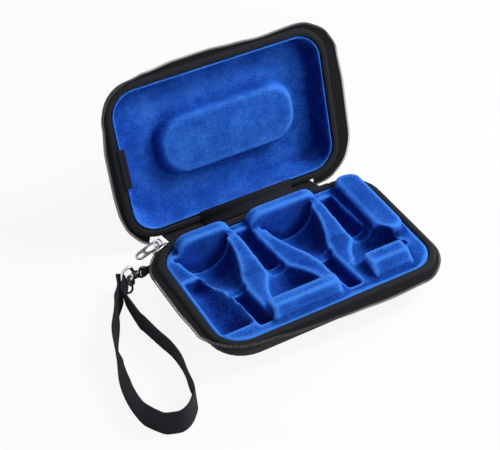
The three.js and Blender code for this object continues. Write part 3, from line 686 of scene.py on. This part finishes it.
# Its section from the hinge line, back and up, as shares of spine_reach: on the base, and on the shut lid
base_spine_shares = [
    (-0.655, 0.565), (-0.455, 0.535), (-0.275, 0.425), (-0.13, 0.21), (-0.045, 0.065), (0.04, -0.01),
]
lid_spine_shares = [(0.005, 0.2), (-0.005, 0.895), (-0.05, 1.245), (-0.16, 1.645)]


def at_hinge(shares):
    return np.array([(0, hinge_back + y * spine_reach, hinge_height + z * spine_reach) for y, z in shares])


def build_spine():
    places = np.concatenate((at_hinge(base_spine_shares), opened(at_hinge(lid_spine_shares))))
    line = through(places[:, 1:], 60)
    lefts = np.array([(spine_left, y, z) for y, z in line])
    rights = np.array([(spine_right, y, z) for y, z in line])
    piece = band("spine_cloth", lefts, rights, spine_thickness, rows=40)
    put_on(piece, None, shell_cloth, "shell_fabric", "hinge_spine_base", "hinge_spine_lid")
    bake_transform(piece)


def build_tag():
    """The folded woven tag, sewn under the lid's left binding and lying over the velvet's edge."""
    along = np.linspace(lid_middle + tag_ahead, lid_middle - tag_behind, 24)
    root = np.array([(tag_root, y, binding_proud + tape_thickness) for y in along])
    tip = np.array([(tag_root + tag_width, y, binding_proud) for y in along])
    piece = band("folded_tag", on_lid(root), on_lid(tip), tag_thickness, rows=8)
    put_on(piece, "lid", webbing, "webbing", "label_tag")


def smooth_copy(node, body, finish, slot, angle, bevel=0.0):
    piece = copy_of(node, node + "_finished")
    if bevel:
        sharp = math.radians(40)
        apply_modifier(piece, "BEVEL", width=bevel, segments=2, limit_method="ANGLE", angle_limit=sharp)
    smooth(piece, angle)
    return put_on(piece, body, finish, slot, node)


# Camera, floor and light

lens_length = 87.86
sensor_width = 36
camera_azimuth = math.radians(-29.65)
camera_elevation = math.radians(42.3)
camera_distance = 894.93 * mm
camera_target = Vector((-39.65 * mm, 4.3 * mm, 73.89 * mm))
floor_size = 8
floor_white = 0.93
floor_glow = 0.9
dim_strength = 0.3
lamps = [
    ("key", (0.78, -0.2, 0.95), (0, 0.03, 0.04), 0.45, 11),
    ("front", (-0.5, -1.0, 0.9), (-0.03, 0.03, 0.05), 0.9, 2),
]


def set_camera():
    """The camera stands back from the case's middle at its azimuth and elevation."""
    data = bpy.data.cameras.new("camera")
    data.lens = lens_length
    data.sensor_width = sensor_width
    camera = bpy.data.objects.new("camera", data)
    bpy.context.scene.collection.objects.link(camera)
    level = math.cos(camera_elevation)
    back = Vector((
        math.sin(camera_azimuth) * level, -math.cos(camera_azimuth) * level, math.sin(camera_elevation)
    ))
    camera.location = camera_target + back * camera_distance
    camera.rotation_euler = back.to_track_quat("Z", "Y").to_euler()
    bpy.context.scene.camera = camera


def set_floor():
    """A white floor that keeps the object's shadow."""
    bpy.ops.mesh.primitive_plane_add(size=floor_size, location=(0, 0, 0))
    floor = bpy.context.object
    floor.name = "floor"
    finish = new_finish("floor white", (floor_white, floor_white, floor_white), 0.9, Specular_IOR_Level=0.0)
    nodes, links = finish.node_tree.nodes, finish.node_tree.links
    path = nodes.new("ShaderNodeLightPath")
    glow = nodes.new("ShaderNodeEmission")
    glow.inputs["Strength"].default_value = 1.0
    mix = nodes.new("ShaderNodeMixShader")
    seen = combine(finish, "MULTIPLY", path.outputs["Is Camera Ray"], floor_glow)
    links.new(seen, mix.inputs[0])
    links.new(nodes["Principled BSDF"].outputs[0], mix.inputs[1])
    links.new(glow.outputs[0], mix.inputs[2])
    links.new(mix.outputs[0], nodes["Material Output"].inputs["Surface"])
    floor.data.materials.append(finish)


def add_lamp(name, place, target, size, power):
    data = bpy.data.lights.new(name, "AREA")
    data.size = size
    data.energy = power
    lamp = bpy.data.objects.new(name, data)
    bpy.context.scene.collection.objects.link(lamp)
    lamp.location = place
    lamp.rotation_euler = (Vector(place) - Vector(target)).to_track_quat("Z", "Y").to_euler()


def set_light():
    """A dim even light on the object, white where the camera and shiny metal see the background."""
    scene = bpy.context.scene
    scene.view_settings.view_transform = "Standard"
    world = bpy.data.worlds.new("studio")
    scene.world = world
    world.use_nodes = True
    nodes, links = world.node_tree.nodes, world.node_tree.links
    path = nodes.new("ShaderNodeLightPath")
    dim = nodes["Background"]
    white = nodes.new("ShaderNodeBackground")
    mix = nodes.new("ShaderNodeMixShader")
    for background, strength in ((dim, dim_strength), (white, 1.0)):
        background.inputs["Strength"].default_value = strength
        background.inputs["Color"].default_value = (1, 1, 1, 1)
    bright = nodes.new("ShaderNodeMath")
    bright.operation = "MAXIMUM"
    links.new(path.outputs["Is Camera Ray"], bright.inputs[0])
    links.new(path.outputs["Is Glossy Ray"], bright.inputs[1])
    links.new(bright.outputs[0], mix.inputs[0])
    links.new(dim.outputs[0], mix.inputs[1])
    links.new(white.outputs[0], mix.inputs[2])
    links.new(mix.outputs[0], nodes["World Output"].inputs["Surface"])
    for lamp in lamps:
        add_lamp(*lamp)


# The pieces, in the order that they are made

def build_zips():
    base_edges = zip_edges(half_length, half_depth, base_zip_shares, base_zip_left)
    lid_edges = zip_edges(half_length, lid_half_depth, lid_zip_shares, lid_zip_left, -1)
    build_zip("base", base_edges, on_base, "base", "base_zip_tape", "base_zip_teeth")
    build_zip("lid", lid_edges, on_lid, "lid", "lid_zip_tape", "lid_zip_teeth")


def build_velvet():
    # The last three values set each skin's painted light: its base brightness, its painted crest highlight,
    # and its painted side shade
    moulded("base_tray", "velvet_tray", "base", tray_grain, rounds=4, level=0.4, crest_highlight_gain=6, lean=0.3)
    lining = moulded(
        "lid_liner", "velvet_lining", "lid", lining_grain, rounds=5, level=0.58, crest_highlight_gain=0.5, lean=0.55
    )
    build_stitches()


def build_shells():
    rim_binding("base_binding", "base_piping", "base", half_length, half_depth, from_base)
    rim_binding("lid_binding", "lid_piping", "lid", half_length, lid_half_depth, from_lid)
    smooth_copy("base_shell", "base", shell_cloth, "shell_fabric", 60)
    smooth_copy("lid_shell", "lid", shell_cloth, "shell_fabric", 60)


def build_fittings():
    for node, body in (("hinge_strip", "lid"), ("strap_tab", "base")):
        smooth_copy(node, body, plain_webbing, "webbing", 60)
    for node, body in (
        ("zip_bottom_stop", "base"), ("zip_end_stop_base", "base"), ("zip_end_stop_lid", "lid"),
        ("hook_eye", "eye"), ("hook_gate", "gate"),
    ):
        smooth_copy(node, body, black_nickel, "black_nickel", 50)
    for node, body in (("zip_slider", "slider"), ("zip_pull", "pull"), ("hook_rivet", "hook")):
        smooth_copy(node, body, pewter, "pewter", 50, metal_bevel)


def build_hook():
    """The claw is pewter, and its barrel beside the eye is black."""
    hook = smooth_copy("hook_body", "hook", pewter, "pewter", 50, metal_bevel)
    hook.data.materials.append(black_nickel)
    for face in hook.data.polygons:
        face.material_index = int(face.center.x > eye[0] - barrel_reach)


set_camera()
set_floor()
set_light()
build_zips()
build_velvet()
build_shells()
build_spine()
build_strap()
build_tag()
build_fittings()
build_hook()
